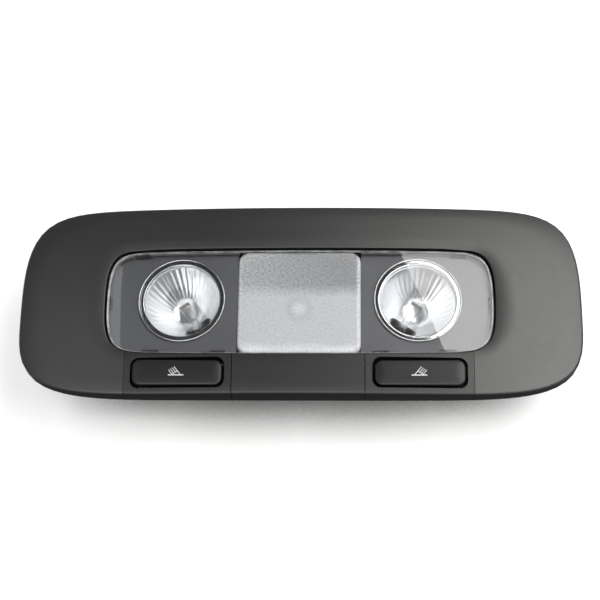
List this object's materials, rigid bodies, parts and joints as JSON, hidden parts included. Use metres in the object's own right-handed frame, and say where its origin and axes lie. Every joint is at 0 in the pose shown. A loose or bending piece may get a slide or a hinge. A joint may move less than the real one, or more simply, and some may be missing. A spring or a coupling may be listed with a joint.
{
  "type": "car dome light",
  "caption": "Car dome light: crowned black bezel, clear lens over a frosted room light and chrome-ringed reading lights, with push buttons in the strip below it.",
  "frame": {"origin": "middle of the overall box, on the flat back of the housing", "axes": "+X to the right and +Y up for someone who faces the light, +Z out of its face"},
  "size_m": [0.21, 0.0744, 0.0393],
  "materials": {
    "bezel_black": "satin, finely grained",
    "button_black": "satin, finely grained",
    "frame_black": "matt",
    "lens_clear": "clear and polished",
    "diffuser_frosted": "frosted and translucent",
    "carrier_grey": "satin dark grey",
    "white_plastic": "matt white",
    "ring_chrome": "polished",
    "reflector_mirror": "bright metallised and fluted",
    "bulb_glass": "clear",
    "holder_brown": "matt heat-proof moulding",
    "plunger_red": "smooth",
    "spring_steel": "bright wire",
    "switch_cream": "matt",
    "screw_steel": "zinc plated",
    "strip_brass": "pressed sheet",
    "clip_steel": "spring steel"
  },
  "bodies": {
    "lamp": {"bezel": "bezel_black", "left_switch_panel": "bezel_black", "centre_panel": "bezel_black", "right_switch_panel": "bezel_black", "strip_frame": "frame_black", "lens": "lens_clear", "diffuser": "diffuser_frosted", "lamp_carrier": "carrier_grey", "light_chamber": "white_plastic", "left_trim_ring": "ring_chrome", "right_trim_ring": "ring_chrome", "left_reflector": "reflector_mirror", "right_reflector": "reflector_mirror", "left_bulb": "bulb_glass", "right_bulb": "bulb_glass", "room_bulb": "bulb_glass", "left_bulb_holder": "holder_brown", "right_bulb_holder": "holder_brown", "room_bulb_holder": "holder_brown", "left_spring": "spring_steel", "right_spring": "spring_steel", "left_switch_body": "switch_cream", "right_switch_body": "switch_cream", "housing": "white_plastic", "housing_screws": "screw_steel", "supply_strip": "strip_brass", "ground_strip": "strip_brass", "door_strip": "strip_brass", "left_lamp_strip": "strip_brass", "right_lamp_strip": "strip_brass", "left_roof_clip": "clip_steel", "right_roof_clip": "clip_steel"},
    "left_button": {"left_button": "button_black", "left_plunger": "plunger_red"},
    "right_button": {"right_button": "button_black", "right_plunger": "plunger_red"}
  },
  "joints": [
    {"name": "left_button_press", "type": "slide", "parent": "lamp", "child": "left_button", "axis": [0, 0, -1], "range_m": [0, 0.0018], "stiffness_N_per_m": 800, "deforming": ["left_spring"]},
    {"name": "right_button_press", "type": "slide", "parent": "lamp", "child": "right_button", "axis": [0, 0, -1], "range_m": [0, 0.0018], "stiffness_N_per_m": 800, "deforming": ["right_spring"]}
  ]
}
